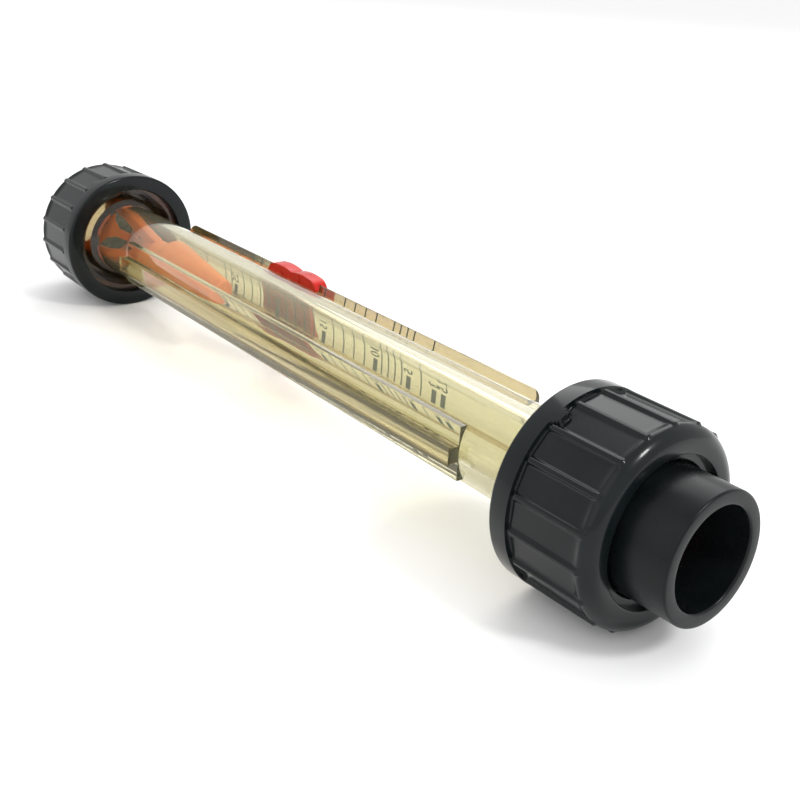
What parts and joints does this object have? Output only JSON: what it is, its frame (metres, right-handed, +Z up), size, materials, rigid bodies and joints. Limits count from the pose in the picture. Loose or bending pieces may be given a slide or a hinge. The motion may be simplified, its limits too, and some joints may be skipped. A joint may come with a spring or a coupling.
{
  "type": "rotameter",
  "caption": "Clear tapered-tube flow meter with a cone float, printed scale panel, sliding limit pointer, back rail and a union nut with pipe socket at each end.",
  "frame": {"origin": "centre of the bounding box, on the tube's axis", "axes": "+X runs along the tube to its inlet end, +Y points to the scale panel, +Z is up as it lies on its two nuts"},
  "size_m": [0.4082, 0.066, 0.066],
  "materials": {
    "clear_tube": "clear amber plastic",
    "nut_plastic": "satin moulded",
    "socket_plastic": "satin moulded",
    "float_plastic": "satin",
    "stop_plastic": "satin",
    "pointer_plastic": "gloss",
    "seal_rubber": "matte"
  },
  "bodies": {
    "meter_body": {"measuring_tube": "clear_tube", "inlet_socket": "socket_plastic", "outlet_socket": "socket_plastic", "inlet_seal_ring": "seal_rubber", "outlet_seal_ring": "seal_rubber", "inlet_stop": "stop_plastic", "outlet_stop": "stop_plastic"},
    "float": {"float": "float_plastic"},
    "limit_pointer": {"limit_pointer": "pointer_plastic"},
    "inlet_union_nut": {"inlet_union_nut": "nut_plastic"},
    "outlet_union_nut": {"outlet_union_nut": "nut_plastic"}
  },
  "joints": [
    {"name": "float_slide", "type": "slide", "parent": "meter_body", "child": "float", "axis": [1, 0, 0], "range_m": [0, 0.2063]},
    {"name": "pointer_slide", "type": "slide", "parent": "meter_body", "child": "limit_pointer", "axis": [1, 0, 0], "range_m": [-0.0725, 0.1265]},
    {"name": "inlet_nut_turn", "type": "hinge", "parent": "meter_body", "child": "inlet_union_nut", "pos_m": [0.168, 0, 0], "axis": [1, 0, 0], "continuous": true},
    {"name": "outlet_nut_turn", "type": "hinge", "parent": "meter_body", "child": "outlet_union_nut", "pos_m": [-0.168, 0, 0], "axis": [1, 0, 0], "continuous": true}
  ]
}
